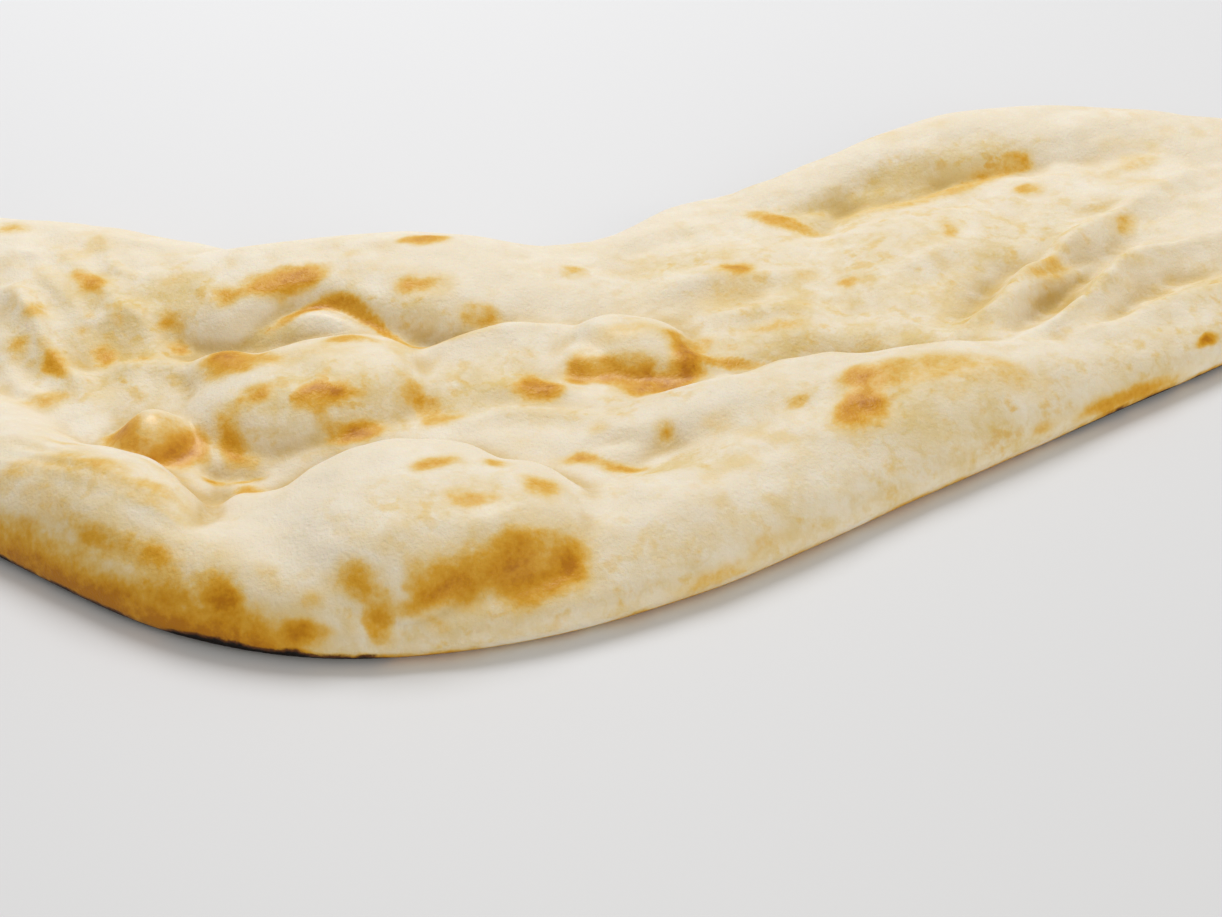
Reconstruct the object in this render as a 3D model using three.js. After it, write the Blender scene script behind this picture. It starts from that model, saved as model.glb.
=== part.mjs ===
// A naan: one hand-stretched flatbread, baked against an oven wall and laid on its flat underside.
// Millimetres, +Z up. +X runs along the bread towards its narrow tip, and -Y is its front edge.
// The origin is under the middle of the bread, on the surface it rests on.

import * as THREE from 'three';

// Plan: the outline seen from above
const breadLength = 398;
const broadWidth = 164; // breadth that the width shares below are taken of
const bendDepth = 52; // sideways bend that the bend shares below are taken of

// Section: heights above the underside
const webThickness = 10; // the thin, docked field inside the rim
const frontRollHeight = 23; // top of the puffed rim along the front, where its share is 1
const backRollHeight = 20.5; // top of the puffed rim along the back, where its share is 1
const tipHeight = 13; // rim height out at the narrow tip
const edgeLift = 3.5; // height at which the outer edge stands out furthest
const footInset = 4; // how far the flat underside stops short of the outer edge
const rimRadius = 20; // how far in from the edge the outer face keeps rising
const rollInset = 32; // distance from the outer edge to the crest of the rim
const rollSpread = 17; // half width of the rim's crest

// Mesh density
const stationCount = 76; // sections along the length
const aroundCount = 42; // points around each section
const topShare = 0.78; // share of those points that lie on the top

// How the middle line bends, as a share of bendDepth, and how the width runs, as a share of the
// broad width, at places along the length from 0, the broad end, to 1, the tip
const shapePlaces = [0, 0.12, 0.2, 0.28, 0.38, 0.48, 0.54, 0.62, 0.74, 0.87, 1];
const bendShares = [1.06, 0.38, -0.07, -0.37, -0.475, -0.49, -0.285, -0.085, 0.255, 0.415, 0.45];
const widthShares = [1.6, 1.305, 1.19, 1.075, 0.98, 0.855, 0.88, 0.865, 0.935, 0.955, 0.82];

// How high the rim stands along the length, from 0, the web, to 1, its full height
const frontRollShares = [0.4, 0.8, 0.75, 0.85, 0.95, 0.45, 0.4, 0.4, 0.2, 0.1, 0.1];
const backRollShares = [0.4, 0.45, 0.5, 0.85, 1, 0.45, 0.15, 0.25, 0.65, 0.45, 0.2];

// Air pockets that puffed up on the web: place along and across (-1 front, 1 back), half sizes,
// turn about Z in degrees and rise
const airPockets = [
  { along: 0.14, across: 0.4, halfLength: 62, halfWidth: 48, turn: -20, rise: 6 },
  { along: 0.3, across: 0.04, halfLength: 32, halfWidth: 26, turn: 4, rise: 9 },
  { along: 0.2, across: -0.26, halfLength: 15, halfWidth: 13, turn: 20, rise: 6 },
  { along: 0.47, across: 0.1, halfLength: 19, halfWidth: 17, turn: -10, rise: 4.5 },
  { along: 0.58, across: -0.46, halfLength: 62, halfWidth: 22, turn: 2, rise: 4.5 },
  { along: 0.71, across: 0.66, halfLength: 44, halfWidth: 16, turn: 14, rise: 2 },
];

const bend = new THREE.CubicInterpolant(shapePlaces, bendShares, 1);
const width = new THREE.CubicInterpolant(shapePlaces, widthShares, 1);
const frontRoll = new THREE.CubicInterpolant(shapePlaces, frontRollShares, 1);
const backRoll = new THREE.CubicInterpolant(shapePlaces, backRollShares, 1);

const upward = new THREE.Vector3(0, 0, 1);

const middleLine = (along) => bendDepth * bend.evaluate(along)[0];

// The ends are round because the width follows a circle's chord
function halfWidth(along) {
  const chord = 2 * Math.sqrt(Math.max(0, along * (1 - along)));
  return (broadWidth / 2) * width.evaluate(along)[0] * chord;
}

// A point in plan from its places along and across
function planPoint(along, across) {
  const x = (along - 0.5) * breadLength;
  const y = middleLine(along) + across * halfWidth(along);
  return new THREE.Vector3(x, y, 0);
}

// The outline as short edges, closer spaced towards the round ends
const outlineEdges = [];
const outlineSteps = 160;
for (const across of [-1, 1]) {
  let previous = planPoint(0, across);
  for (let step = 1; step <= outlineSteps; step += 1) {
    const along = 0.5 - 0.5 * Math.cos((Math.PI * step) / outlineSteps);
    const next = planPoint(along, across);
    outlineEdges.push(new THREE.Line3(previous, next));
    previous = next;
  }
}

function edgeDistance(point) {
  const nearest = new THREE.Vector3();
  const distances = outlineEdges.map((edge) => {
    edge.closestPointToPoint(point, true, nearest);
    return nearest.distanceTo(point);
  });
  return Math.min(...distances);
}

// The rim is as high as its front or back roll, and both sink to the tip height
function rimHeight(along, across) {
  const towardsTip = THREE.MathUtils.smoothstep(along, 0.55, 0.95);
  const front = webThickness + (frontRollHeight - webThickness) * frontRoll.evaluate(along)[0];
  const back = webThickness + (backRollHeight - webThickness) * backRoll.evaluate(along)[0];
  const towardsBack = THREE.MathUtils.smoothstep(across, -0.35, 0.35);
  const side = THREE.MathUtils.lerp(front, back, towardsBack);
  return THREE.MathUtils.lerp(side, Math.min(side, tipHeight), towardsTip);
}

function pocketRise(point) {
  let rise = 0;
  for (const pocket of airPockets) {
    const offset = point.clone().sub(planPoint(pocket.along, pocket.across));
    offset.applyAxisAngle(upward, -THREE.MathUtils.degToRad(pocket.turn));
    const reach = Math.hypot(offset.x / pocket.halfLength, offset.y / pocket.halfWidth);
    rise += pocket.rise * (1 - THREE.MathUtils.smoothstep(reach, 0, 1));
  }
  return rise;
}

function topHeight(point, along, across) {
  const inset = edgeDistance(point);
  const roll = Math.exp(-(((inset - rollInset) / rollSpread) ** 2));
  const crown = THREE.MathUtils.lerp(webThickness, rimHeight(along, across), roll) + pocketRise(point);
  const outward = 1 - Math.min(inset / rimRadius, 1);
  return edgeLift + (crown - edgeLift) * Math.sqrt(1 - outward ** 2);
}

function undersideHeight(point) {
  return edgeLift * Math.max(0, 1 - edgeDistance(point) / footInset);
}

// A ball with its poles at the two ends, drawn out to the bread's form. Each ring of the ball
// becomes one section: its first part runs over the top from front to back, the rest under it.
function breadGeometry() {
  const geometry = new THREE.SphereGeometry(1, aroundCount, stationCount);
  geometry.rotateZ(Math.PI / 2);
  const positions = geometry.getAttribute('position');
  const fullTurn = 2 * Math.PI;
  for (let index = 0; index < positions.count; index += 1) {
    const along = THREE.MathUtils.clamp(0.5 + 0.5 * positions.getX(index), 0, 1);
    const angle = Math.atan2(positions.getZ(index), -positions.getY(index));
    const turn = THREE.MathUtils.euclideanModulo(angle, fullTurn) / fullTurn;
    const onTop = turn <= topShare;
    const sweep = onTop ? turn / topShare : (1 - turn) / (1 - topShare);
    const across = -Math.cos(Math.PI * sweep);
    const point = planPoint(along, across);
    const height = onTop ? topHeight(point, along, across) : undersideHeight(point);
    positions.setXYZ(index, point.x, point.y, height);
  }
  geometry.computeVertexNormals();
  geometry.computeBoundingBox();
  const middle = geometry.boundingBox.getCenter(new THREE.Vector3());
  geometry.translate(-middle.x, -middle.y, 0);
  return geometry;
}

const bakedCrust = new THREE.MeshStandardMaterial({ color: 0xf2e4c0, roughness: 0.62, metalness: 0 });

const naanBread = new THREE.Mesh(breadGeometry(), bakedCrust);
naanBread.name = 'naan_bread';

const naan = new THREE.Group();
naan.add(naanBread);

export default naan;
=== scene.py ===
"""A baked naan: one stretched flatbread with a puffed rim, blisters and a scorched front edge.

Millimetres in the sizes below, metres in the scene. +X runs along the bread to its narrow tip,
-Y is the front edge, and the flat underside lies at Z = 0.
"""

import math

import bmesh
import bpy
import numpy as np
from mathutils import Matrix, Vector


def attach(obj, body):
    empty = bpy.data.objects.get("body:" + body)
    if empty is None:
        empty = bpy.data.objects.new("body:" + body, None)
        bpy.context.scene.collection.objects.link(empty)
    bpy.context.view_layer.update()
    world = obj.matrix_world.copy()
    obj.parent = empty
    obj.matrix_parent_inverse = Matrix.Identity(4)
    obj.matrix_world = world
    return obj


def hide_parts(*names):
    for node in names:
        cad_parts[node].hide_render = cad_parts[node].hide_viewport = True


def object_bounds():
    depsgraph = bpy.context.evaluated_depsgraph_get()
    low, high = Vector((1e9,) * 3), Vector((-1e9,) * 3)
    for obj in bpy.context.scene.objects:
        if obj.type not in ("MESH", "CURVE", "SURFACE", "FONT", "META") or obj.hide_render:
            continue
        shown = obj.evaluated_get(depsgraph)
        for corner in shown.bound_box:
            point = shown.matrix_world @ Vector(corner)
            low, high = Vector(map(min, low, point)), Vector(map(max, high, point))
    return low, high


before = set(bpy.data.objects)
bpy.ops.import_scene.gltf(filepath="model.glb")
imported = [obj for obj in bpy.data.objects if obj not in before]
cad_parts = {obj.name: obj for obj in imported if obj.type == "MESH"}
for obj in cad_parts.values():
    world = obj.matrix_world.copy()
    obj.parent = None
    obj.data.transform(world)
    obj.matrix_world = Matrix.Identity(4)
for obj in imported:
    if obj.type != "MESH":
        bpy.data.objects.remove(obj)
cad_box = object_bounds()

MM = 0.001

# ---------------------------------------------------------------- sizes of the bread, in mm

BREAD_LENGTH = round((cad_box[1][0] - cad_box[0][0]) / MM, 2)
BROAD_WIDTH = 164
BEND_DEPTH = 52
EDGE_LIFT = 3.4  # height at which the outer edge stands out furthest
FOOT_INSET = 3.6  # how far the flat underside stops short of the outer edge
WEB_THICKNESS = 9.5  # the thin field inside the rim
ROLL_FOOT = 6  # where a roll's section starts, inside the dough
POCKET_FOOT = 8.0  # the same for an air pocket

# Places along the bread, 0 at the broad end and 1 at the tip, with the bend of its middle line
# (shares of the bend depth) and its width (shares of the broad width)
PLACES = (0, 0.12, 0.2, 0.28, 0.38, 0.48, 0.54, 0.62, 0.74, 0.87, 1)
BEND_SHARES = (1.06, 0.38, -0.07, -0.37, -0.475, -0.49, -0.285, -0.085, 0.255, 0.415, 0.45)
WIDTH_SHARES = (1.6, 1.305, 1.19, 1.075, 0.98, 0.855, 0.88, 0.865, 0.935, 0.955, 0.82)

STATIONS = 372  # sections along the bread
AROUND = 244  # points round each section
TOP_SHARE = 0.87  # share of those points that lie on the top
END_EASE = 0.1  # share of the length over which the sections close up at each end

# Rounds of levelling for the steep walls, the outer face and the finding of hollows
WALL_ROUNDS = 3
FACE_ROUNDS = 16
HOLLOW_ROUNDS = 40


# ---------------------------------------------------------------- small mathematics

def smooth(low, high, value):
    """0 below low, 1 above high, and an S-curve between."""
    share = np.clip((value - low) / (high - low), 0, 1)
    return share * share * (3 - 2 * share)


def blend_max(first, second, softness):
    """The larger of two heights, with the crease between them rounded."""
    share = np.clip(0.5 + 0.5 * (first - second) / softness, 0, 1)
    return second + (first - second) * share + softness * share * (1 - share)


def along_curve(places, values, at):
    """A smooth curve through values at places."""
    places = np.asarray(places, float)
    values = np.asarray(values, float)
    slopes = np.empty_like(values)
    slopes[1:-1] = (values[2:] - values[:-2]) / (places[2:] - places[:-2])
    slopes[0] = (values[1] - values[0]) / (places[1] - places[0])
    slopes[-1] = (values[-1] - values[-2]) / (places[-1] - places[-2])
    left = np.clip(np.searchsorted(places, at, side="right") - 1, 0, len(places) - 2)
    width = places[left + 1] - places[left]
    t = (at - places[left]) / width
    rise = values[left + 1] - values[left]
    start = slopes[left] * width - rise
    finish = rise - slopes[left + 1] * width
    return values[left] + rise * t + t * (1 - t) * ((1 - t) * start + t * finish)


LATTICE = 256  # cells across the noise's random lattice, before it repeats


def dough_noise(x, y, grain, seed):
    """Soft random relief from -1 to 1, with lumps about one grain across."""
    lattice = np.random.default_rng(seed).uniform(-1, 1, (LATTICE + 1, LATTICE + 1))
    # the lattice is turned, so that its rows don't run along the bread
    u = (x * 0.92 + y * 0.39) / grain + LATTICE // 2
    v = (y * 0.92 - x * 0.39) / grain + LATTICE // 2
    column = np.floor(u).astype(int) % LATTICE
    row = np.floor(v).astype(int) % LATTICE
    s = u - np.floor(u)
    t = v - np.floor(v)
    s = s * s * (3 - 2 * s)
    t = t * t * (3 - 2 * t)
    lower = lattice[column, row] * (1 - s) + lattice[column + 1, row] * s
    upper = lattice[column, row + 1] * (1 - s) + lattice[column + 1, row + 1] * s
    return lower * (1 - t) + upper * t


def ellipse_share(x, y, middle_x, middle_y, long, short, turn):
    """0 in the middle of a turned ellipse and 1 on its rim."""
    c = math.cos(math.radians(turn))
    s = math.sin(math.radians(turn))
    dx = x - middle_x
    dy = y - middle_y
    return np.hypot((dx * c + dy * s) / long, (dy * c - dx * s) / short)


def to_piece(x, y, start, end):
    """Distance to a straight piece, and how far along it the nearest place lies, from 0 to 1."""
    run = end - start
    t = ((x - start[0]) * run[0] + (y - start[1]) * run[1]) / max(run @ run, 1e-9)
    t = np.clip(t, 0, 1)
    return np.hypot(x - start[0] - t * run[0], y - start[1] - t * run[1]), t


def to_path(x, y, path):
    """Distance to a bent line through points, and what each point carries, at the nearest place."""
    path = np.asarray(path, float)
    steps = np.arange(len(path))
    fine = np.linspace(0, len(path) - 1, 6 * len(path))
    line = np.stack([along_curve(steps, column, fine) for column in path.T], axis=1)
    best = np.full(x.shape, np.inf)
    carried = np.zeros((path.shape[1] - 2,) + x.shape)
    for start, end in zip(line[:-1], line[1:]):
        distance, t = to_piece(x, y, start[:2], end[:2])
        nearer = distance < best
        best = np.where(nearer, distance, best)
        for index in range(len(carried)):
            value = start[index + 2] + t * (end[index + 2] - start[index + 2])
            carried[index] = np.where(nearer, value, carried[index])
    return best, carried


# ---------------------------------------------------------------- plan

def half_width(along):
    """The ends are round because the width follows a circle's chord."""
    chord = 2 * np.sqrt(np.clip(along * (1 - along), 0, None))
    return BROAD_WIDTH / 2 * along_curve(PLACES, WIDTH_SHARES, along) * chord


def plan_point(along, across):
    """A place in plan, where across runs from -1 at the front edge to 1 at the back edge."""
    x = (along - 0.5) * BREAD_LENGTH
    y = BEND_DEPTH * along_curve(PLACES, BEND_SHARES, along) + across * half_width(along)
    return x, y


def side_shift():
    """What centres the outline on the frame from side to side."""
    places = np.linspace(0, 1, 4001)
    front = plan_point(places, -1)[1]
    back = plan_point(places, 1)[1]
    return (front.min() + back.max()) / 2


def edge_inset(along, across, x, y):
    """How far each point lies inside the outline."""
    places = 0.5 - 0.5 * np.cos(np.linspace(0, math.pi, 120))
    front = np.stack(plan_point(places, -1), axis=1)
    back = np.stack(plan_point(places, 1), axis=1)
    outline = np.concatenate([front, back[::-1]])
    inset = np.full(x.shape, np.inf)
    for start, end in zip(outline[:-1], outline[1:]):
        inset = np.minimum(inset, to_piece(x, y, start, end)[0])
    # right at the rim the outline's own slope gives a finer answer than its short straight pieces
    side = np.where(across < 0, -1, 1)
    step = 0.002
    before = plan_point(np.clip(along - step, 0, 1), side)
    after = plan_point(np.clip(along + step, 0, 1), side)
    slope = (after[1] - before[1]) / (after[0] - before[0])
    near = half_width(along) * (1 - np.abs(across)) / np.sqrt(1 + slope**2)
    share = smooth(0.4, 2.5, inset)
    return near * (1 - share) + inset * share


# ---------------------------------------------------------------- relief

SIDE_SHIFT = side_shift()

# Rolls of puffed dough, as bent lines of (x, y, half width, height) with a crease softness and
# the fullness of the section, where 0.5 is round and larger is more peaked
ROLLS = (
    # the broad end's rim, round to the front
    (((-182, 50, 16, 14), (-176, 18, 18, 15), (-162, -14, 20, 16), (-148, -34, 21, 18.5),
      (-133, -48, 22, 22), (-124, -58, 19, 20.5)), 1.8, 0.6),
    # the low rim in front of both lobes
    (((-140, -52, 20, 14), (-122, -66, 20, 16), (-104, -76, 20, 16.5), (-84, -80, 18, 15),
      (-66, -80, 14, 12)), 3, 0.7),
    # the front's largest lobe
    (((-102, -58, 13, 13), (-92, -64, 20, 17), (-76, -68, 28, 21.5), (-60, -71, 28, 21.5),
      (-50, -74, 23, 20.5)), 1.8, 0.5),
    # the back rim
    (((-122, 38, 18, 14.5), (-96, 36, 23, 18.5), (-72, 33, 27, 20), (-54, 27, 30, 20),
      (-38, 23, 28, 18), (-22, 23, 24, 14), (-6, 27, 18, 10)), 1.2, 0.6),
    # the long swell in front of the middle
    (((-34, -40, 13, 11), (-16, -44, 14, 13), (2, -44, 15, 16.2), (24, -43, 16, 18.5),
      (46, -43, 16, 18), (64, -46, 15, 16.5), (80, -47, 13, 14)), 1.8, 0.62),
    # its slow fall to the front
    (((4, -58, 13, 12.5), (18, -58, 18, 16), (40, -56, 18, 16.5), (60, -53, 16, 15.5),
      (78, -50, 13, 13)), 4, 0.9),
    # the low rim along the right-hand front edge
    (((-30, -80, 18, 14), (-8, -76, 22, 15), (16, -68, 22, 15.5), (38, -60, 22, 15), (62, -52, 20, 14),
      (92, -39, 18, 11.5), (122, -25, 16, 10), (150, -10, 15, 9.5), (174, 6, 14, 9)), 4, 1.1),
    # the back rim towards the tip
    (((44, 52, 12, 11.5), (60, 60, 17, 14.5), (80, 65, 20, 16.5), (102, 67, 20, 16.5), (124, 65, 18, 14.5),
      (150, 58, 16, 12.5), (176, 44, 15, 11.5)), 1.2, 0.6),
)

# Air pockets: (x, y, half length, half width, turn in degrees, height, fullness)
POCKETS = (
    (-145, 58, 66, 50, -20, 19, 1.3),
    (-81, -12, 28, 23, 2, 18.5, 0.7),
    (-97, -3, 12, 14, 20, 15.5, 0.8),
    (-118, -21, 11, 9.5, 20, 14.8, 0.75),
    (-8, -12, 15, 12, -10, 15.8, 0.8),
    (-19, -16, 9, 8, 0, 13.4, 0.8),
    (1, -19, 10, 7, -20, 13, 0.8),
    (-41, -11, 28, 20, 8, 13.6, 1.1),
    (66, 16, 38, 22, 25, 12.5, 1.6),
    (20, 16, 32, 20, 10, 12, 1.6),
)

# Folds and stretch marks: bent lines of (x, y, half width, rise)
FOLDS = (
    ((60, -30, 6, 0), (78, -20, 7, 4), (94, -3, 7, 4.6), (110, 8, 8, 4.2), (132, 25, 10, 3),
     (157, 40, 10, 0)),
    ((69, -35, 5, 0), (86, -17, 5, 3), (100, -7, 5, 3), (118, 3, 6, 0)),
    ((73, -38, 5, 0), (89, -31, 6, 3.4), (106, -18, 7, 4.8), (114, -8, 8, 4.6), (138, -3, 10, 3.6),
     (165, 6, 10, 0)),
    ((86, -40, 6, 0), (105, -31, 7, 2.4), (131, -24, 8, 2.2), (155, -14, 8, 0)),
    ((-152, 40, 7, 0), (-146, 31, 7, 2.6), (-140, 14, 7, 3), (-132, -8, 6, 0)),
    ((-58, -8, 6, 0), (-46, -5, 8, 3), (-30, -5, 9, 3.2), (-14, -3, 9, 2.2), (4, 0, 9, 0)),
    ((-52, -28, 5, 0), (-40, -24, 6, 1.8), (-28, -28, 6, 1.6), (-16, -35, 6, 0)),
    ((-56, -36, 5, 0), (-42, -33, 5, 1.5), (-28, -38, 5, 1.5), (-18, -44, 5, 0)),
    ((-4, 8, 6, 0), (14, 12, 8, 1.8), (34, 10, 8, 1.8), (52, 12, 8, 0)),
    ((4, -4, 5, 0), (18, -4, 6, 1.8), (34, -8, 6, 1.8), (52, -14, 6, 0)),
    ((-6, 24, 5, 0), (0, 34, 6, 1.8), (12, 40, 7, 1.4), (26, 40, 7, 0)),
    ((50, -8, 6, 0), (62, 2, 7, 2), (76, 12, 8, 1.6), (96, 22, 9, 0)),
    ((-128, 2, 5, 0), (-120, 6, 6, 1.8), (-110, 4, 6, 1.6), (-104, -2, 5, 0)),
    ((-136, 40, 6, 0), (-126, 34, 7, 1.8), (-118, 22, 7, 1.8), (-114, 10, 6, 0)),
)

# Creases: bent lines of (x, y, half width, depth)
CREASES = (
    ((-98, 10, 2, 0), (-90, 17, 2.4, 2.4), (-78, 18, 2.4, 3.2), (-66, 8, 2, 2.6), (-50, -1, 2.4, 3),
     (-32, 3, 3, 1.4), (-18, 8, 4, 0)),
    ((-104, -36, 3, 1.5), (-104, -46, 3.5, 3), (-107, -58, 4, 2), (-110, -68, 4, 0)),
    ((-33, -66, 1.8, 0), (-32, -78, 1.8, 1.2), (-31, -96, 1.8, 0.8)),
    ((38, 36, 2.5, 0), (48, 31, 2.5, 1), (58, 40, 2, 1.6), (72, 41, 2, 1.8), (88, 45, 2, 1.6),
     (108, 51, 2, 0)),
    ((-22, -58, 9, 0), (-8, -60, 10, 1.6), (6, -59, 9, 0)),
    ((0, -26, 4, 0), (14, -25, 4, 2), (34, -25, 4.5, 2.2), (54, -30, 4, 1.6), (70, -34, 4, 0)),
    ((82, -27, 4, 0), (97, -14, 4.5, 3.4), (111, -2, 4.5, 3.2), (128, 9, 5, 0)),
    ((96, -33, 3, 0), (108, -27, 4, 2.8), (122, -17, 5, 3.6), (142, -12, 6, 2)),
    ((66, -26, 4, 0), (76, -12, 5, 3), (86, 2, 5, 2.8), (100, 14, 6, 0)),
    ((-104, -28, 2, 0), (-106, -34, 2, 2), (-98, -38, 2, 2), (-92, -40, 2, 0)),
    ((-28, -52, 2, 0), (-20, -50, 2, 1.6), (-10, -53, 2, 1), (-4, -56, 2, 0)),
)


def crinkles(x, y, grain, seed):
    """Thin ridges that wander over crumpled dough, 1 on the ridge."""
    return (1 - np.abs(dough_noise(x, y, grain, seed))) ** 3


def broad_lobe(x, y):
    """1 on the broad end's front lobe, where the skin was pulled into streaks."""
    return (1 - smooth(-118, -104, x)) * (1 - smooth(-30, -14, y))


def pulled_streaks(x, y):
    """Long slanting streaks from -1 to 1, as stretched skin has."""
    return dough_noise((x - y) * 0.2, x + y, 3.8, 13)


def profile(share, fullness):
    """Section of a puffed form, 1 at its middle and 0 at its rim."""
    return np.clip(1 - share ** 2.4, 0, None) ** fullness


def relief(x, y):
    """Crown height over the bread in mm, before its outer edge is rounded."""
    sway = 2.2
    wx = x + sway * dough_noise(x, y, 26, 3) + 0.7 * dough_noise(x, y, 8, 4)
    wy = y + sway * dough_noise(x, y, 26, 5) + 0.7 * dough_noise(x, y, 8, 6)
    height = WEB_THICKNESS + 1.3 * dough_noise(x, y, 34, 7) + 1.1 * dough_noise(x, y, 13, 8)
    lumps = dough_noise(x, y, 5.5, 12)
    for *ellipse, top, fullness in POCKETS:
        share = ellipse_share(wx, wy, *ellipse)
        base = min(top, POCKET_FOOT)
        bump = base + (top - base) * profile(share, fullness) * (1 + 0.06 * lumps)
        height = blend_max(height, np.where(share < 1, bump, 0), 1.2)
    for path, softness, fullness in ROLLS:
        distance, (wide, top) = to_path(wx, wy, path)
        share = distance / wide
        bump = ROLL_FOOT + (top - ROLL_FOOT) * profile(share, fullness)
        height = blend_max(height, np.where(share < 1, bump, 0), softness)
    for path in FOLDS:
        distance, (wide, rise) = to_path(wx, wy, path)
        height = height + rise * np.clip(1 - distance / wide, 0, 1) ** 1.6
    for path in CREASES:
        distance, (wide, depth) = to_path(wx, wy, path)
        height = height - depth * np.exp(-((distance / wide) ** 2))
    height = height + 0.4 * dough_noise(x, y, 7, 9) + 0.2 * dough_noise(x, y, 3, 10)
    # fine wrinkles lie along the bread, as it was pulled
    height = height + 0.4 * dough_noise(x * 0.35, y, 4, 11) * smooth(-30, 10, x)
    height = height + 0.6 * pulled_streaks(x, y) * broad_lobe(x, y)
    slope = (1 - smooth(-112, -96, x)) * smooth(-24, 0, y)
    height = height + (0.3 + 1.1 * slope) * (crinkles(wx, wy, 13, 14) - 0.35)
    return height


def round_edge(crown, inset):
    """The outer face rises as a quarter round as wide as the bread is high there."""
    outward = 1 - np.clip(inset / crown, 0, 1)
    return EDGE_LIFT + (crown - EDGE_LIFT) * np.sqrt(np.clip(1 - outward**2, 0, 1))


def underside(inset):
    outward = 1 - np.clip(inset / FOOT_INSET, 0, 1)
    return EDGE_LIFT * (1 - np.sqrt(np.clip(1 - outward**2, 0, 1)))


# ---------------------------------------------------------------- the bread's mesh

def eased(t):
    """Even steps along the bread that close up towards its round ends."""
    start = t**2 / (2 * END_EASE)
    middle = t - END_EASE / 2
    finish = 1 - END_EASE - (1 - t) ** 2 / (2 * END_EASE)
    return np.where(t < END_EASE, start, np.where(t > 1 - END_EASE, finish, middle)) / (1 - END_EASE)


def coordinates(mesh):
    points = np.empty(len(mesh.vertices) * 3)
    mesh.vertices.foreach_get("co", points)
    return points.reshape(-1, 3)


def levelled(mesh, z, rounds):
    """The heights after each point has moved halfway to its neighbours' mean, round after round."""
    edges = np.empty(len(mesh.edges) * 2, int)
    mesh.edges.foreach_get("vertices", edges)
    first, second = edges.reshape(-1, 2).T
    count = np.bincount(edges, minlength=len(z))
    for _ in range(rounds):
        total = np.bincount(first, z[second], len(z)) + np.bincount(second, z[first], len(z))
        z = 0.5 * z + 0.5 * total / count
    return z


def dough_ball():
    """A sheet rolled into a closed ball with its poles at the bread's two ends."""
    bm = bmesh.new()
    bmesh.ops.create_grid(bm, x_segments=STATIONS, y_segments=AROUND, size=1)
    for vertex in bm.verts:
        polar = (vertex.co.x + 1) / 2 * math.pi
        turn = (vertex.co.y + 1) * math.pi
        radius = math.sin(polar)
        vertex.co = (-math.cos(polar), -radius * math.cos(turn), radius * math.sin(turn))
    bmesh.ops.remove_doubles(bm, verts=bm.verts, dist=1e-5)
    bmesh.ops.recalc_face_normals(bm, faces=bm.faces)
    mesh = bpy.data.meshes.new("naan_crust")
    bm.to_mesh(mesh)
    bm.free()
    return mesh


def stretched(points):
    """Draws the ball out to the bread's form."""
    polar = np.arccos(np.clip(-points[:, 0], -1, 1)) / math.pi
    turn = np.mod(np.arctan2(points[:, 2], -points[:, 1]) / (2 * math.pi), 1)
    turn = np.where(turn > 1 - 1e-6, 0, turn)
    along = eased(polar)
    on_top = turn <= TOP_SHARE + 1e-6
    sweep = np.where(on_top, turn / TOP_SHARE, (1 - turn) / (1 - TOP_SHARE))
    across = -np.cos(math.pi * np.clip(sweep, 0, 1))
    x, y = plan_point(along, across)
    inset = edge_inset(along, across, x, y)
    crown = relief(x, y)
    z = np.where(on_top, round_edge(crown, inset), underside(inset))
    return np.stack([x, y, z], axis=1), inset, on_top


# ---------------------------------------------------------------- baking marks

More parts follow.
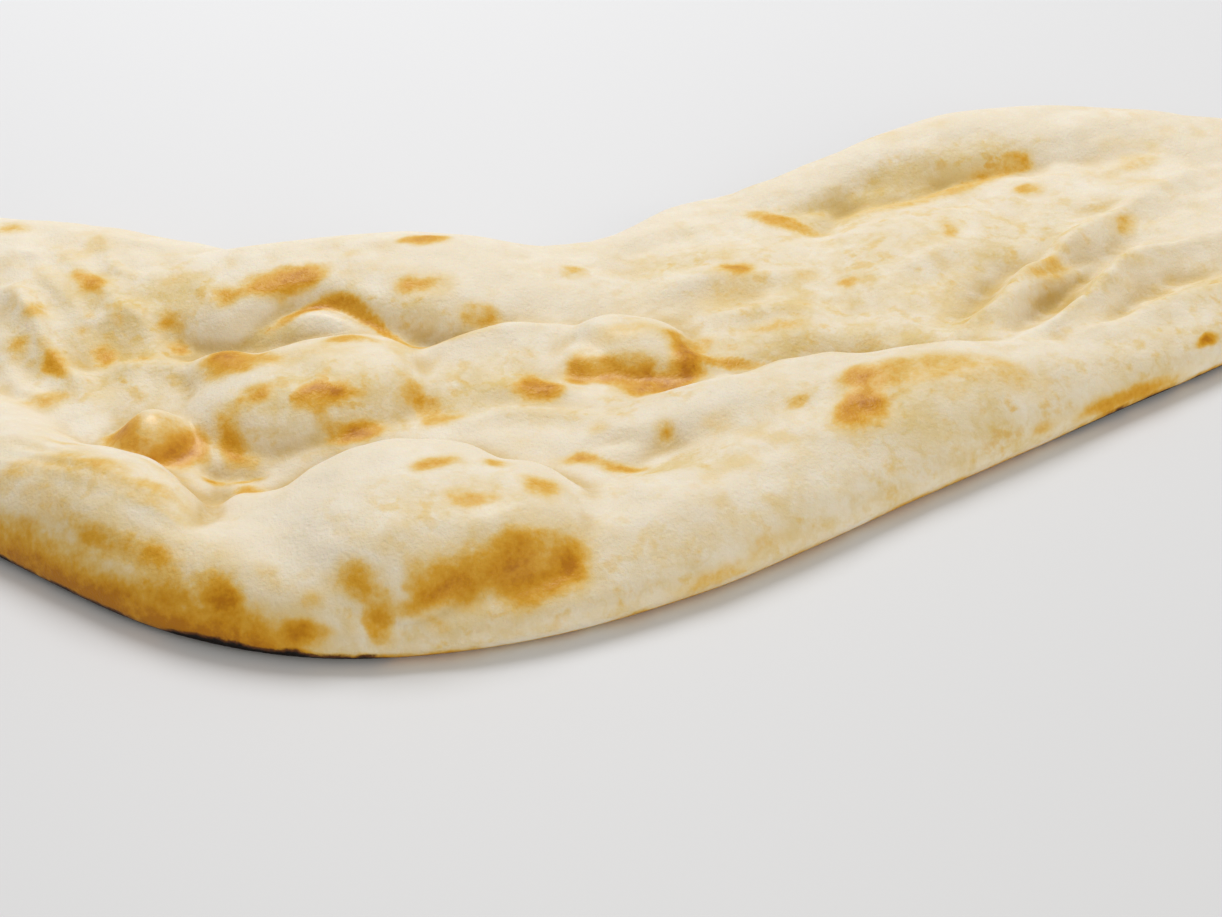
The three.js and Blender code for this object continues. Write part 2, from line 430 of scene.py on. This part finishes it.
# Browned spots seen from above: (x, y, half length, half width, turn in degrees, strength)
TOP_BROWNS = (
    # the broad end's slope
    (-132, 46, 3.5, 4.5, 20, 0.66), (-129, 41, 4, 3.5, 30, 0.72), (-143, 33, 3.5, 4, 0, 0.5),
    (-140, 17, 6, 2.4, -69, 0.9), (-128, 20, 4.5, 4.5, 0, 0.68), (-120, 15, 3, 3, 0, 0.42),
    (-111, 29, 3.5, 4, 0, 0.6), (-112, 21, 4, 3.6, 0, 0.6), (-141, 5, 7, 4, 20, 0.42),
    (-149, 24, 3, 3, 20, 0.6), (-124, 30, 3, 2.4, 30, 0.4), (-162, 30, 6, 5, 0, 0.5),
    (-170, 58, 7, 6, 0, 0.55), (-150, 74, 5, 4, 0, 0.4), (-128, 60, 4, 3, 20, 0.28),
    (-176, 12, 5, 4, 0, 0.5), (-108, 12, 3, 3, 0, 0.35), (-133, 28, 3, 3, 0, 0.35),
    # the amber blister and the valley beside it
    (-118, -21, 9, 8, 0, 0.4), (-125, -16, 4, 4.6, 20, 0.9), (-111, -24, 4.4, 6.5, 0, 0.9),
    (-117, -27, 5, 3, 0, 0.6), (-121, -21, 3, 3, 0, 0.5), (-99, -42, 4, 5, 20, 0.66),
    (-105, -33, 3.5, 1.6, 0, 0.8), (-98, -34, 4, 1.4, 10, 0.66),
    # the broad end's lobe
    (-137, -38, 12, 7, -30, 0.3), (-119, -50, 8, 4, -30, 0.42), (-128, -42, 6, 3, -30, 0.36),
    (-150, -34, 6, 5, 0, 0.3),
    # the back rim
    (-80, 31, 6, 4, 0, 0.8), (-88, 30, 6, 4, 0, 0.78), (-99, 30, 6, 3, 0, 0.6),
    (-54, 20, 3.6, 3.4, 0, 0.74), (-52, 20, 7, 6, 0, 0.26), (-40, 10, 5, 4, -15, 0.62),
    (-50, 38, 5, 2, 0, 0.8), (-14, 26, 3.4, 3, 0, 0.5), (-110, 40, 5, 4, 0, 0.28),
    # the pillow behind the front lobe
    (-100, 4, 6, 7, 0, 0.86), (-93, 0, 6, 5, 20, 0.6), (-81, -3, 14, 6, 0, 0.24),
    (-72, 3, 6, 3.4, -10, 0.6), (-78, -18, 7, 3.4, 5, 0.94), (-85, -20, 3.4, 3.4, 0, 0.6),
    (-73, -27, 6, 3.4, 5, 0.88), (-81, -25, 3, 4, 0, 0.46), (-101, -23, 3.8, 8, 10, 0.76),
    (-95, -14, 4.4, 3.4, 30, 0.62), (-58, -19, 3, 8, 15, 0.62), (-55, -28, 4.4, 3, 0, 0.5),
    # the dark blister in the middle and what surrounds it
    (-34, -21, 4, 4, 0, 0.8), (-30, -22, 3.6, 4.5, 0, 0.8), (-21, -15, 5, 4.2, 0, 0.76),
    (-13, -19, 6, 4.4, 0, 0.84), (-5, -21.5, 6, 4.4, 0, 0.9), (4, -14, 4, 6, 0, 0.86),
    (3, -20, 4.6, 4, 0, 0.84), (-9, -26, 6, 3.6, 0, 0.84), (-2, -25, 4.4, 2.8, 0, 0.7),
    (-8, -8, 9, 4, 0, 0.3), (8, -10, 4, 4, 0, 0.5), (27, -9, 7, 2.6, 0, 0.4),
    (23, 17, 4.6, 3.8, 0, 0.78), (21, 8, 9, 5, 0, 0.3), (49, 6, 3.6, 3, 0, 0.58),
    (77, 24, 3, 4.6, 0, 0.5), (104, 41, 3.6, 2.6, 0, 0.6), (121, 17, 4, 3, 15, 0.46),
    (96, -1, 8, 3.4, 30, 0.5), (34, -2, 4, 3, 0, 0.3), (40, 12, 4, 2.6, 0, 0.3),
    # the front lobe's top
    (-38, -70, 4, 4, 0, 0.6), (-53, -73, 4.2, 3.4, 0, 0.62), (-58, -59, 5.4, 3, 0, 0.68),
    (-45, -59, 3.6, 2.6, 0, 0.52),
    # the long swell
    (36.5, -54.5, 5, 5, 30, 0.94), (32, -58, 3.6, 4, 30, 0.7), (38.5, -45, 4.8, 3, 10, 0.84),
    (40, -50, 4, 3, 20, 0.5), (-6, -46.5, 2.2, 3, 30, 0.7), (22, -48, 3.6, 2, 0, 0.62),
    (-27, -50, 5, 2.6, -20, 0.62), (-19, -54, 4.6, 2.8, -10, 0.8), (5, -49, 4, 3, 0, 0.3),
    (57, -53, 4, 2.6, 0, 0.34), (-22, -41, 3, 2.4, 0, 0.3),
    # the tip
    (136, 46, 5, 4, 10, 0.36), (156, 22, 5, 4, 30, 0.5), (172, 42, 6, 4, 0, 0.5),
    (182, 16, 5, 3, 40, 0.55),
)

# Browned spots on the steep front face: (x, way up the face, half length, half height, turn, strength)
FRONT_BROWNS = (
    (-60, 16.5, 6.4, 4.8, 20, 0.78), (-67, 13.5, 4.4, 3, 20, 0.54), (-46.5, 15.5, 5.6, 7.2, 0, 0.88),
    (-36.5, 15.5, 5, 6.4, 0, 0.84), (-46, 22, 6.4, 2.6, 0, 0.56), (-53, 17, 5, 4.4, 0, 0.6),
    (-41, 12, 4, 4, 0, 0.6), (-52, 18, 20, 10, 5, 0.34), (-134, 15, 20, 8, -8, 0.3),
    (-112, 17, 12, 6, 0, 0.22), (-79, 18.5, 3.6, 4, 10, 0.56), (-77, 13.5, 3.4, 4.8, 0, 0.5),
    (-76, 8.5, 3, 3.6, 10, 0.62), (-71, 10.5, 3.2, 2, -30, 0.36), (-69, 17.5, 2.4, 5, 0, 0.46),
    (-84, 17, 3, 2.6, 0, 0.3), (-90, 13.5, 3, 2.6, 0, 0.36), (-65, 8, 3, 1.6, -20, 0.4),
    (-97, 17, 3, 2.6, 0, 0.3), (-118, 10, 5, 3.2, 0, 0.86), (-108, 11.5, 5, 4.2, -20, 0.98),
    (-120, 16, 4, 4, 0, 0.46), (-92, 8, 4.4, 2.4, 0, 0.86), (-102, 5, 12, 4, 0, 0.8),
    (-131, 7, 9, 4.6, -15, 0.55), (-130, 16, 6, 2.4, -15, 0.42), (-146, 8, 9, 5, 0, 0.56),
    (-164, 7, 11, 6, 0, 0.56), (-5, 4, 10, 2.6, 0, 0.45), (8, 7, 6, 2, 0, 0.32),
    (77, 6, 4, 1.8, 0, 0.4), (99, 4.6, 13, 2.4, 0, 0.76), (122, 8.8, 4.2, 1.3, 0, 0.95),
)

# The same on the steep back face
BACK_BROWNS = (
    (-176, 9, 10, 5, 10, 0.46), (-160, 12, 4, 3, 0, 0.36), (-138, 6, 12, 4, 0, 0.62),
    (-127, 11, 5, 4, 20, 0.46), (-92, 7, 14, 4, 0, 0.66), (-81, 12, 5, 3, -20, 0.44),
    (-72, 5, 8, 3, 0, 0.46), (-24, 4, 12, 2.6, 0, 0.46), (44, 5, 12, 3, 0, 0.42),
    (62, 8, 6, 4, 0, 0.44), (104, 10, 5, 3.4, 20, 0.5), (114, 6, 16, 4, 0, 0.62),
    (152, 5, 10, 3, 0, 0.46), (184, 6, 7, 3, 0, 0.36),
)

# Browned lines: bent lines of (x, y, half width, strength)
BROWN_LINES = (
    # the first line is a browned arc, and its thin tail along the crease in front of the back rim, from x
    # = -56 on, is painted shade
    ((-90, 17, 1.2, 0.3), (-81, 22, 2.2, 0.8), (-72, 20.8, 2.4, 0.86), (-65, 13.8, 1.8, 0.76),
     (-62, 9, 1.5, 0.6), (-56, 4, 1.3, 0.5), (-46, 0, 1.2, 0.3), (-36, 1, 1.2, 0)),
    ((6, -16, 2.4, 0.6), (14, -18.5, 2.4, 0.66), (27, -21, 2, 0.2)),
    ((31, 48, 1.6, 0.1), (37, 44.5, 3, 0.6), (44, 39.5, 3.2, 0.66), (51, 33, 1.6, 0.1)),
    ((42, -46, 4, 0.56), (50, -45, 5.4, 0.4), (60, -44.5, 6, 0.34), (70, -47, 4.6, 0.32),
     (78, -51, 2.4, 0.2)),
    ((58, 42, 2.6, 0.22), (76, 44, 3.4, 0.36), (92, 49, 3.4, 0.4), (108, 55, 2.6, 0.55)),
)

# Gold tint, partly the dough's pale gold mottling and partly painted shade in hollows and on shaded faces:
# (x, y, half length, half width, turn, strength)
GOLD_AND_SHADE_SPOTS = (
    (-90, 17, 6, 3.4, 0, 1), (-128, 30, 26, 22, 10, 0.5), (-120, 8, 20, 13, 0, 0.5),
    (76, 50, 32, 7, 12, 0.9), (50, 44, 10, 8, 10, 0.5), (-6, -60, 12, 6, -5, 0.7),
    (96, -14, 16, 5, 42, 0.85), (122, -17, 16, 5, 20, 0.9), (135, -19, 16, 4, 20, 0.8),
    (78, -12, 16, 5, 55, 0.75), (62, -20, 12, 6, 20, 0.65), (86, 14, 12, 5, 35, 0.4),
    (12, 26, 10, 7, 0, 0.4), (28, 2, 16, 9, 0, 0.45), (-60, 14, 24, 6, -25, 0.5),
    (-80, -18, 24, 15, 0, 0.6), (-42, -19, 16, 10, 0, 0.65), (54, -60, 26, 8, 0, 0.65),
    (104, -8, 16, 6, 42, 0.75), (110, 22, 16, 5, 35, 0.4), (56, -56, 22, 6, 0, 0.4),
    (60, 8, 76, 40, 15, 0.34), (-58, -74, 26, 14, 0, 0.34), (-112, 34, 10, 8, 0, 0.5),
    (-124, -50, 20, 10, -30, 0.35), (30, -16, 30, 6, -5, 0.7), (-20, -34, 22, 5, -8, 0.4),
    (44, -50, 30, 7, 0, 0.35),
)

# Blisters where butter and oil gather: (x, y, half length, half width, turn, strength)
OILED = (
    (-118, -21, 10, 9, 0, 0.9), (-8, -17, 16, 12, 0, 0.35), (-80, -10, 22, 14, 0, 0.12),
    (-46, -84, 16, 12, 0, 0.22), (42, -48, 14, 10, 0, 0.3), (-78, 18, 14, 6, 0, 0.4),
)

# How high the scorching reaches up the front edge: (x, height)
SCORCH = (
    (-199, 0.8), (-185, 1.1), (-150, 1.5), (-120, 1.9), (-106, 2.8), (-94, 2.9), (-84, 1.4), (-74, 0.5),
    (-60, 0.2), (20, 0.3), (60, 0.5), (84, 0.8), (96, 1.2), (113, 1.4), (124, 0.9), (140, 0.5),
    (199, 0.3),
)


def spots(u, v, marks):
    """How strongly the marks cover each point, with soft edges."""
    bare = np.ones(u.shape)
    for *ellipse, strength in marks:
        share = ellipse_share(u, v, *ellipse)
        bare = bare * (1 - strength * (1 - smooth(0.15, 1.6, share)))
    return 1 - bare


def lines(x, y, paths):
    """The same for marks along bent lines."""
    bare = np.ones(x.shape)
    for path in paths:
        distance, (wide, strength) = to_path(x, y, path)
        bare = bare * (1 - strength * (1 - smooth(0.4, 1.5, distance / wide)))
    return 1 - bare


def mark(mesh, name, values):
    """Stores a value from 0 to 1 on each point, for the material to read."""
    attribute = mesh.attributes.new(name, "FLOAT", "POINT")
    attribute.data.foreach_set("value", np.clip(values, 0, 1).astype(np.float32))


def steep_faces(x, y):
    """1 near the front edge and 1 near the back edge, each fading inwards."""
    places = np.linspace(0, 1, 60)
    front_x, front_y = plan_point(places, -1)
    back_x, back_y = plan_point(places, 1)
    front = 1 - smooth(26, 36, y + SIDE_SHIFT - np.interp(x, front_x, front_y))
    back = 1 - smooth(16, 24, np.interp(x, back_x, back_y) - y - SIDE_SHIFT)
    return front, back


def bake(mesh, points, inset, on_top):
    """Marks the dough's browning, scorching, oil, hollows for painted shade, a gold tint that is partly
    painted shade, and the dry underside.
    """
    x, y, z = points.T
    wx = x + 1.8 * dough_noise(x, y, 9, 21) + 1.1 * dough_noise(x, y + z, 3.5, 22)
    wy = y + 1.8 * dough_noise(x, y, 9, 23) + 1.1 * dough_noise(x, y + z, 3.5, 24)
    wz = z + 0.9 * dough_noise(x, z, 7, 25) + 0.4 * dough_noise(x, z, 2.5, 26)
    front, back = steep_faces(x, y)
    upward = np.hypot(inset, z) + 0.9 * dough_noise(x, z, 7, 27) + 0.5 * dough_noise(x, z, 3, 28)
    top = np.where(on_top, 1.0, 0.0)
    browned = spots(wx, wy, TOP_BROWNS) * top * smooth(4, 8, z)
    browned = np.maximum(browned, spots(wx, upward, FRONT_BROWNS) * front * (0.4 + 0.6 * top))
    browned = np.maximum(browned, spots(wx, upward, BACK_BROWNS) * back * (0.4 + 0.6 * top))
    browned = np.maximum(browned, lines(0.5 * (x + wx), 0.5 * (y + wy), BROWN_LINES) * top)
    streaks = smooth(-0.1, 0.8, pulled_streaks(wx, wy))
    browned = np.maximum(browned, 0.32 * streaks * broad_lobe(x, y) * top)
    caramel = (1 - smooth(4, 15, wz)) * front * smooth(-190, -165, x) * (1 - smooth(-104, -82, x))
    browned = np.maximum(browned, caramel)
    reach = np.interp(x, *np.transpose(SCORCH))
    outermost = 1 - smooth(FOOT_INSET, FOOT_INSET + 5, inset)
    scorched = (1 - smooth(reach - 1, reach + 1.4, wz)) * front * outermost
    rim = (1 - smooth(reach + 0.5, reach + 2.6, wz)) * front
    browned = np.maximum(browned, 0.8 * rim)
    mark(mesh, "browned", browned)
    mark(mesh, "scorched", scorched * smooth(0.2, 1, reach))
    mark(mesh, "oiled", spots(wx, wy, OILED) * top)
    # painted shade: how far each point lies below its levelled neighbours, so that the material darkens
    # the hollows
    mark(mesh, "hollow", smooth(0.08, 1.3, levelled(mesh, z, HOLLOW_ROUNDS) - z) * top)
    # painted shade: the low front faces, in shade with the light behind, and the listed gold spots, partly
    # the dough's gold mottling and partly painted shade, get the gold tint
    low_front_shade = 0.42 * (1 - smooth(7, 19, z)) * front
    mark(mesh, "gold_and_shade", np.maximum(low_front_shade, spots(wx, wy, GOLD_AND_SHADE_SPOTS)) * top)
    mark(mesh, "underneath", (1 - top) * smooth(0.6 * FOOT_INSET, FOOT_INSET + 3, inset))


# ---------------------------------------------------------------- the crust's material

def feed(tree, socket, value):
    """Links a socket to another, or sets it to a value."""
    if isinstance(value, bpy.types.NodeSocket):
        tree.links.new(value, socket)
    else:
        socket.default_value = value


def reading(tree, name):
    """One of the marks stored on the mesh."""
    node = tree.nodes.new("ShaderNodeAttribute")
    node.attribute_name = name
    node.label = name
    return node.outputs["Fac"]


def grain(tree, where, millimetres, detail=3, roughness=0.55):
    """Noise from 0 to 1 with lumps of about the given size."""
    node = tree.nodes.new("ShaderNodeTexNoise")
    node.inputs["Scale"].default_value = 1 / (millimetres * MM)
    node.inputs["Detail"].default_value = detail
    node.inputs["Roughness"].default_value = roughness
    feed(tree, node.inputs["Vector"], where)
    return node.outputs["Fac"]


def sums(tree, operation, first, second=0.0, third=0.0):
    """Arithmetic on up to three values."""
    node = tree.nodes.new("ShaderNodeMath")
    node.operation = operation
    for socket, value in zip(node.inputs, (first, second, third)):
        feed(tree, socket, value)
    return node.outputs[0]


def span(tree, value, low, high, start=0.0, finish=1.0):
    """An S-curve from start, below low, to finish, above high."""
    node = tree.nodes.new("ShaderNodeMapRange")
    node.interpolation_type = "SMOOTHSTEP"
    feed(tree, node.inputs["Value"], value)
    for name, number in (("From Min", low), ("From Max", high), ("To Min", start), ("To Max", finish)):
        node.inputs[name].default_value = number
    return node.outputs["Result"]


# A Mix node's colour sockets, which share their names with its number sockets
MIX_FIRST = 6
MIX_SECOND = 7
MIX_RESULT = 2


def blend(tree, share, first, second):
    node = tree.nodes.new("ShaderNodeMix")
    node.data_type = "RGBA"
    feed(tree, node.inputs["Factor"], share)
    feed(tree, node.inputs[MIX_FIRST], first)
    feed(tree, node.inputs[MIX_SECOND], second)
    return node.outputs[MIX_RESULT]


def ramp(tree, value, stops):
    node = tree.nodes.new("ShaderNodeValToRGB")
    elements = node.color_ramp.elements
    while len(elements) < len(stops):
        elements.new(0.5)
    for element, (place, colour) in zip(elements, stops):
        element.position = place
        element.color = (*colour, 1)
    feed(tree, node.inputs["Fac"], value)
    return node.outputs["Color"]


CREAM = (0.88, 0.79, 0.63)
# pale yellow for the dough's gold mottling and for painted shade on low faces and in shaded spots
STRAW_GOLD_AND_SHADE = (0.77, 0.59, 0.25, 1)
# the darker tint of the painted shade in the hollows
HOLLOW_SHADE_TINT = (0.66, 0.46, 0.15, 1)
FLOUR = (0.94, 0.9, 0.8, 1)
SOOT = (0.006, 0.003, 0.002, 1)
BURNT = (0.14, 0.045, 0.006, 1)
DRY_BASE = (0.76, 0.6, 0.35, 1)

PORES_PER_METRE = 380
SKIN_DEPTH = 0.9 * MM

# From bare dough to the darkest blister
BROWNING = (
    (0.0, CREAM),
    (0.2, (0.85, 0.69, 0.41)),
    (0.42, (0.81, 0.55, 0.17)),
    (0.64, (0.75, 0.4, 0.035)),
    (0.84, (0.66, 0.3, 0.008)),
    (1.0, (0.52, 0.2, 0.002)),
)


def centred(tree, value):
    """A noise from 0 to 1, moved to run from -0.5 to 0.5."""
    return sums(tree, "SUBTRACT", value, 0.5)


def toasting(tree, where, noises, browned, gold_and_shade):
    """How far the surface is baked, from 0, bare dough, to 1, the darkest blister."""
    middle, patchy, fine = noises
    # noise breaks up the marks' edges, and leaves bare dough alone
    ragged = sums(tree, "MULTIPLY", centred(tree, middle), 0.8)
    ragged = sums(tree, "MULTIPLY_ADD", centred(tree, patchy), 0.3, ragged)
    ragged = sums(tree, "MULTIPLY_ADD", centred(tree, fine), 0.3, ragged)
    ragged = sums(tree, "MULTIPLY", ragged, span(tree, browned, 0.03, 0.4))
    toast = sums(tree, "ADD", browned, ragged)
    # a faint gold bloom over the bare dough
    broad = span(tree, grain(tree, where, 22, 2), 0.46, 0.7)
    bloom = sums(tree, "MULTIPLY", broad, span(tree, middle, 0.36, 0.68, 0.0, 0.21))
    freckles = span(tree, grain(tree, where, 5, 4), 0.5, 0.68, 0.0, 0.9)
    freckles = sums(tree, "MULTIPLY", freckles, gold_and_shade)
    return sums(tree, "MAXIMUM", toast, sums(tree, "MAXIMUM", bloom, freckles))


def bare_dough(tree, where, middle, colour, bare, gold_and_shade):
    """Lays gold mottling with painted shade on low faces and in shaded spots, painted shade in the
    hollows, and dry flour over the dough between the marks.
    """
    # thin gold veins wander through the gold tint, which is partly painted shade
    wander = centred(tree, grain(tree, where, 8, 4))
    vein = span(tree, sums(tree, "ABSOLUTE", wander), 0, 0.06, 1, 0)
    straw_and_shade = sums(tree, "MULTIPLY_ADD", sums(tree, "MULTIPLY", vein, gold_and_shade), 0.5, gold_and_shade)
    straw_and_shade = sums(tree, "MULTIPLY_ADD", centred(tree, middle), 1.1, straw_and_shade)
    straw_and_shade = sums(tree, "MULTIPLY", span(tree, straw_and_shade, 0.0, 1.1, 0.0, 0.85), bare)
    # the pale yellow lays the dough's gold mottling and painted shade
    colour = blend(tree, straw_and_shade, colour, STRAW_GOLD_AND_SHADE)
    # painted shade: the hollows are darkened towards the hollow shade tint
    hollow_shade = sums(tree, "MULTIPLY", reading(tree, "hollow"), bare)
    colour = blend(tree, sums(tree, "MULTIPLY", hollow_shade, 0.8), colour, HOLLOW_SHADE_TINT)
    dust = span(tree, grain(tree, where, 13, 5, 0.65), 0.46, 0.66, 0.0, 0.4)
    return blend(tree, sums(tree, "MULTIPLY", dust, bare), colour, FLOUR)


def dry_underside(tree, where, middle, colour):
    """The underside is drier, with its own scattered brown spots."""
    spotted = ramp(tree, span(tree, grain(tree, where, 10, 4), 0.42, 0.72, 0.12, 0.85), BROWNING)
    beneath = blend(tree, span(tree, middle, 0.3, 0.6), DRY_BASE, spotted)
    return blend(tree, reading(tree, "underneath"), colour, beneath)


def charred(tree, fine, colour, scorched):
    """Burnt brown, then soot, in specks at the edge of the scorching."""
    charring = span(tree, scorched, 0.02, 0.3, 0.0, 0.8)
    speckle = sums(tree, "MULTIPLY", centred(tree, fine), charring)
    soot = sums(tree, "ADD", scorched, speckle)
    colour = blend(tree, span(tree, soot, 0.05, 0.4), colour, BURNT)
    return blend(tree, span(tree, soot, 0.35, 0.75), colour, SOOT)


def crust_skin(tree, where, patchy):
    """Pores and fine grain, as a normal."""
    pores = tree.nodes.new("ShaderNodeTexVoronoi")
    pores.inputs["Scale"].default_value = PORES_PER_METRE
    feed(tree, pores.inputs["Vector"], where)
    pits = span(tree, pores.outputs["Distance"], 0.0, 0.3)
    skin = sums(tree, "MULTIPLY_ADD", grain(tree, where, 0.7, 3, 0.6), 0.5, patchy)
    skin = sums(tree, "MULTIPLY_ADD", pits, 0.25, skin)
    bump = tree.nodes.new("ShaderNodeBump")
    bump.inputs["Strength"].default_value = 0.4
    bump.inputs["Distance"].default_value = SKIN_DEPTH
    feed(tree, bump.inputs["Height"], skin)
    return bump.outputs["Normal"]


def crust_material():
    material = bpy.data.materials.new("baked_crust")
    material.use_nodes = True
    tree = material.node_tree
    shader = tree.nodes["Principled BSDF"]
    where = tree.nodes.new("ShaderNodeTexCoord").outputs["Object"]
    browned = reading(tree, "browned")
    gold_and_shade = reading(tree, "gold_and_shade")
    scorched = reading(tree, "scorched")
    middle = grain(tree, where, 7, 4)
    patchy = grain(tree, where, 3.2, 4, 0.6)
    fine = grain(tree, where, 1.6, 3, 0.6)
    toast = toasting(tree, where, (middle, patchy, fine), browned, gold_and_shade)
    bare = span(tree, browned, 0.1, 0.45, 1.0, 0.0)
    colour = bare_dough(tree, where, middle, ramp(tree, toast, BROWNING), bare, gold_and_shade)
    colour = dry_underside(tree, where, middle, colour)
    colour = charred(tree, fine, colour, scorched)
    feed(tree, shader.inputs["Base Color"], colour)
    # browned skin is smoother than bare dough, and soot is dull
    gloss = span(tree, toast, 0.2, 0.8, 0.62, 0.4)
    gloss = sums(tree, "MULTIPLY_ADD", centred(tree, fine), 0.25, gloss)
    gloss = sums(tree, "MAXIMUM", gloss, sums(tree, "MULTIPLY", scorched, 0.9))
    feed(tree, shader.inputs["Roughness"], gloss)
    feed(tree, shader.inputs["Coat Weight"], sums(tree, "MULTIPLY", reading(tree, "oiled"), 0.7))
    shader.inputs["Coat Roughness"].default_value = 0.32
    shader.inputs["Specular IOR Level"].default_value = 0.2
    shader.inputs["Subsurface Weight"].default_value = 0.1
    shader.inputs["Subsurface Radius"].default_value = (1, 0.55, 0.22)
    shader.inputs["Subsurface Scale"].default_value = 0.004
    feed(tree, shader.inputs["Normal"], crust_skin(tree, where, patchy))
    return material


def settle(mesh, points, inset, on_top):
    """Softens the relief where dough sags or puffs, then lays the pulled streaks over it."""
    top = np.where(on_top, 1.0, 0.0)
    # the steep walls behind the lobes, away from the outer edge
    walls = smooth(8, 14, inset) * top
    points[:, 2] += walls * (levelled(mesh, points[:, 2], WALL_ROUNDS) - points[:, 2])
    # the outer face is puffed smooth
    puffed = smooth(3, 8, inset) * (1 - smooth(11, 18, inset)) * top
    points[:, 2] += puffed * (levelled(mesh, points[:, 2], FACE_ROUNDS) - points[:, 2])
    x, y = points[:, 0], points[:, 1]
    pulled = smooth(4, 10, inset) * top * broad_lobe(x, y)
    points[:, 2] += 0.45 * pulled * pulled_streaks(x, y)


def make_naan():
    mesh = dough_ball()
    points, inset, on_top = stretched(coordinates(mesh))
    points[:, 1] -= SIDE_SHIFT
    settle(mesh, points, inset, on_top)
    mesh.vertices.foreach_set("co", (points * MM).ravel())
    mesh.update()
    mesh.shade_smooth()
    bake(mesh, points, inset, on_top)
    mesh.materials.append(crust_material())
    naan = bpy.data.objects.new("naan_crust", mesh)
    bpy.context.collection.objects.link(naan)
    return naan


# ---------------------------------------------------------------- stage, light and camera

CAMERA_PLACE = Vector((-90.3, -491.7, 321.7)) * MM
CAMERA_DOWN = 34.9  # degrees below level
CAMERA_HEADING = 9.0  # degrees to the right of +Y
CAMERA_ROLL = -3.11  # degrees
SENSOR = 36
LENS = 73.65

FLOOR_COLOUR = (0.77, 0.785, 0.82, 1)
ROOM_COLOUR = (1, 0.965, 0.91, 1)
ROOM_STRENGTH = 0.45
WINDOW_PLACE = (0.0, 0.95, 1.1)
WINDOW_SIZE = 0.7
WINDOW_POWER = 12.6
FILL_PLACE = (0.7, -1.25, 0.55)
FILL_TARGET = (0.08, 0, 0)
FILL_SIZE = 0.9
FILL_POWER = 5.6
FILL_COLOUR = (1, 0.93, 0.78)


def make_camera():
    data = bpy.data.cameras.new("table_view")
    data.sensor_width = SENSOR
    data.lens = LENS
    data.clip_start = 0.01
    camera = bpy.data.objects.new("table_view", data)
    heading = Matrix.Rotation(math.radians(-CAMERA_HEADING), 4, "Z")
    tilt = Matrix.Rotation(math.radians(90 - CAMERA_DOWN), 4, "X")
    roll = Matrix.Rotation(math.radians(CAMERA_ROLL), 4, "Z")
    camera.matrix_world = Matrix.Translation(CAMERA_PLACE) @ heading @ tilt @ roll
    bpy.context.collection.objects.link(camera)
    bpy.context.scene.camera = camera


def area_light(name, place, target, size, power, colour=(1, 1, 1)):
    data = bpy.data.lights.new(name, "AREA")
    data.shape = "DISK"
    data.size = size
    data.energy = power
    data.color = colour
    light = bpy.data.objects.new(name, data)
    aim = (Vector(target) - Vector(place)).to_track_quat("-Z", "Y")
    light.matrix_world = Matrix.Translation(place) @ aim.to_matrix().to_4x4()
    bpy.context.collection.objects.link(light)


def make_stage():
    bm = bmesh.new()
    bmesh.ops.create_grid(bm, x_segments=1, y_segments=1, size=4)
    mesh = bpy.data.meshes.new("pale_floor")
    bm.to_mesh(mesh)
    bm.free()
    floor = bpy.data.objects.new("pale_floor", mesh)
    bpy.context.collection.objects.link(floor)
    material = bpy.data.materials.new("pale_floor")
    material.use_nodes = True
    shader = material.node_tree.nodes["Principled BSDF"]
    shader.inputs["Base Color"].default_value = FLOOR_COLOUR
    shader.inputs["Roughness"].default_value = 0.6
    mesh.materials.append(material)
    world = bpy.data.worlds.new("soft_room")
    world.use_nodes = True
    room = world.node_tree.nodes["Background"]
    room.inputs["Color"].default_value = ROOM_COLOUR
    room.inputs["Strength"].default_value = ROOM_STRENGTH
    bpy.context.scene.world = world
    area_light("window_behind", WINDOW_PLACE, (0, 0, 0), WINDOW_SIZE, WINDOW_POWER)
    area_light("front_fill", FILL_PLACE, FILL_TARGET, FILL_SIZE, FILL_POWER, FILL_COLOUR)
    bpy.context.scene.view_settings.view_transform = "Standard"


make_camera()
make_stage()
naan = make_naan()
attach(naan, "root")
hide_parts("naan_bread")
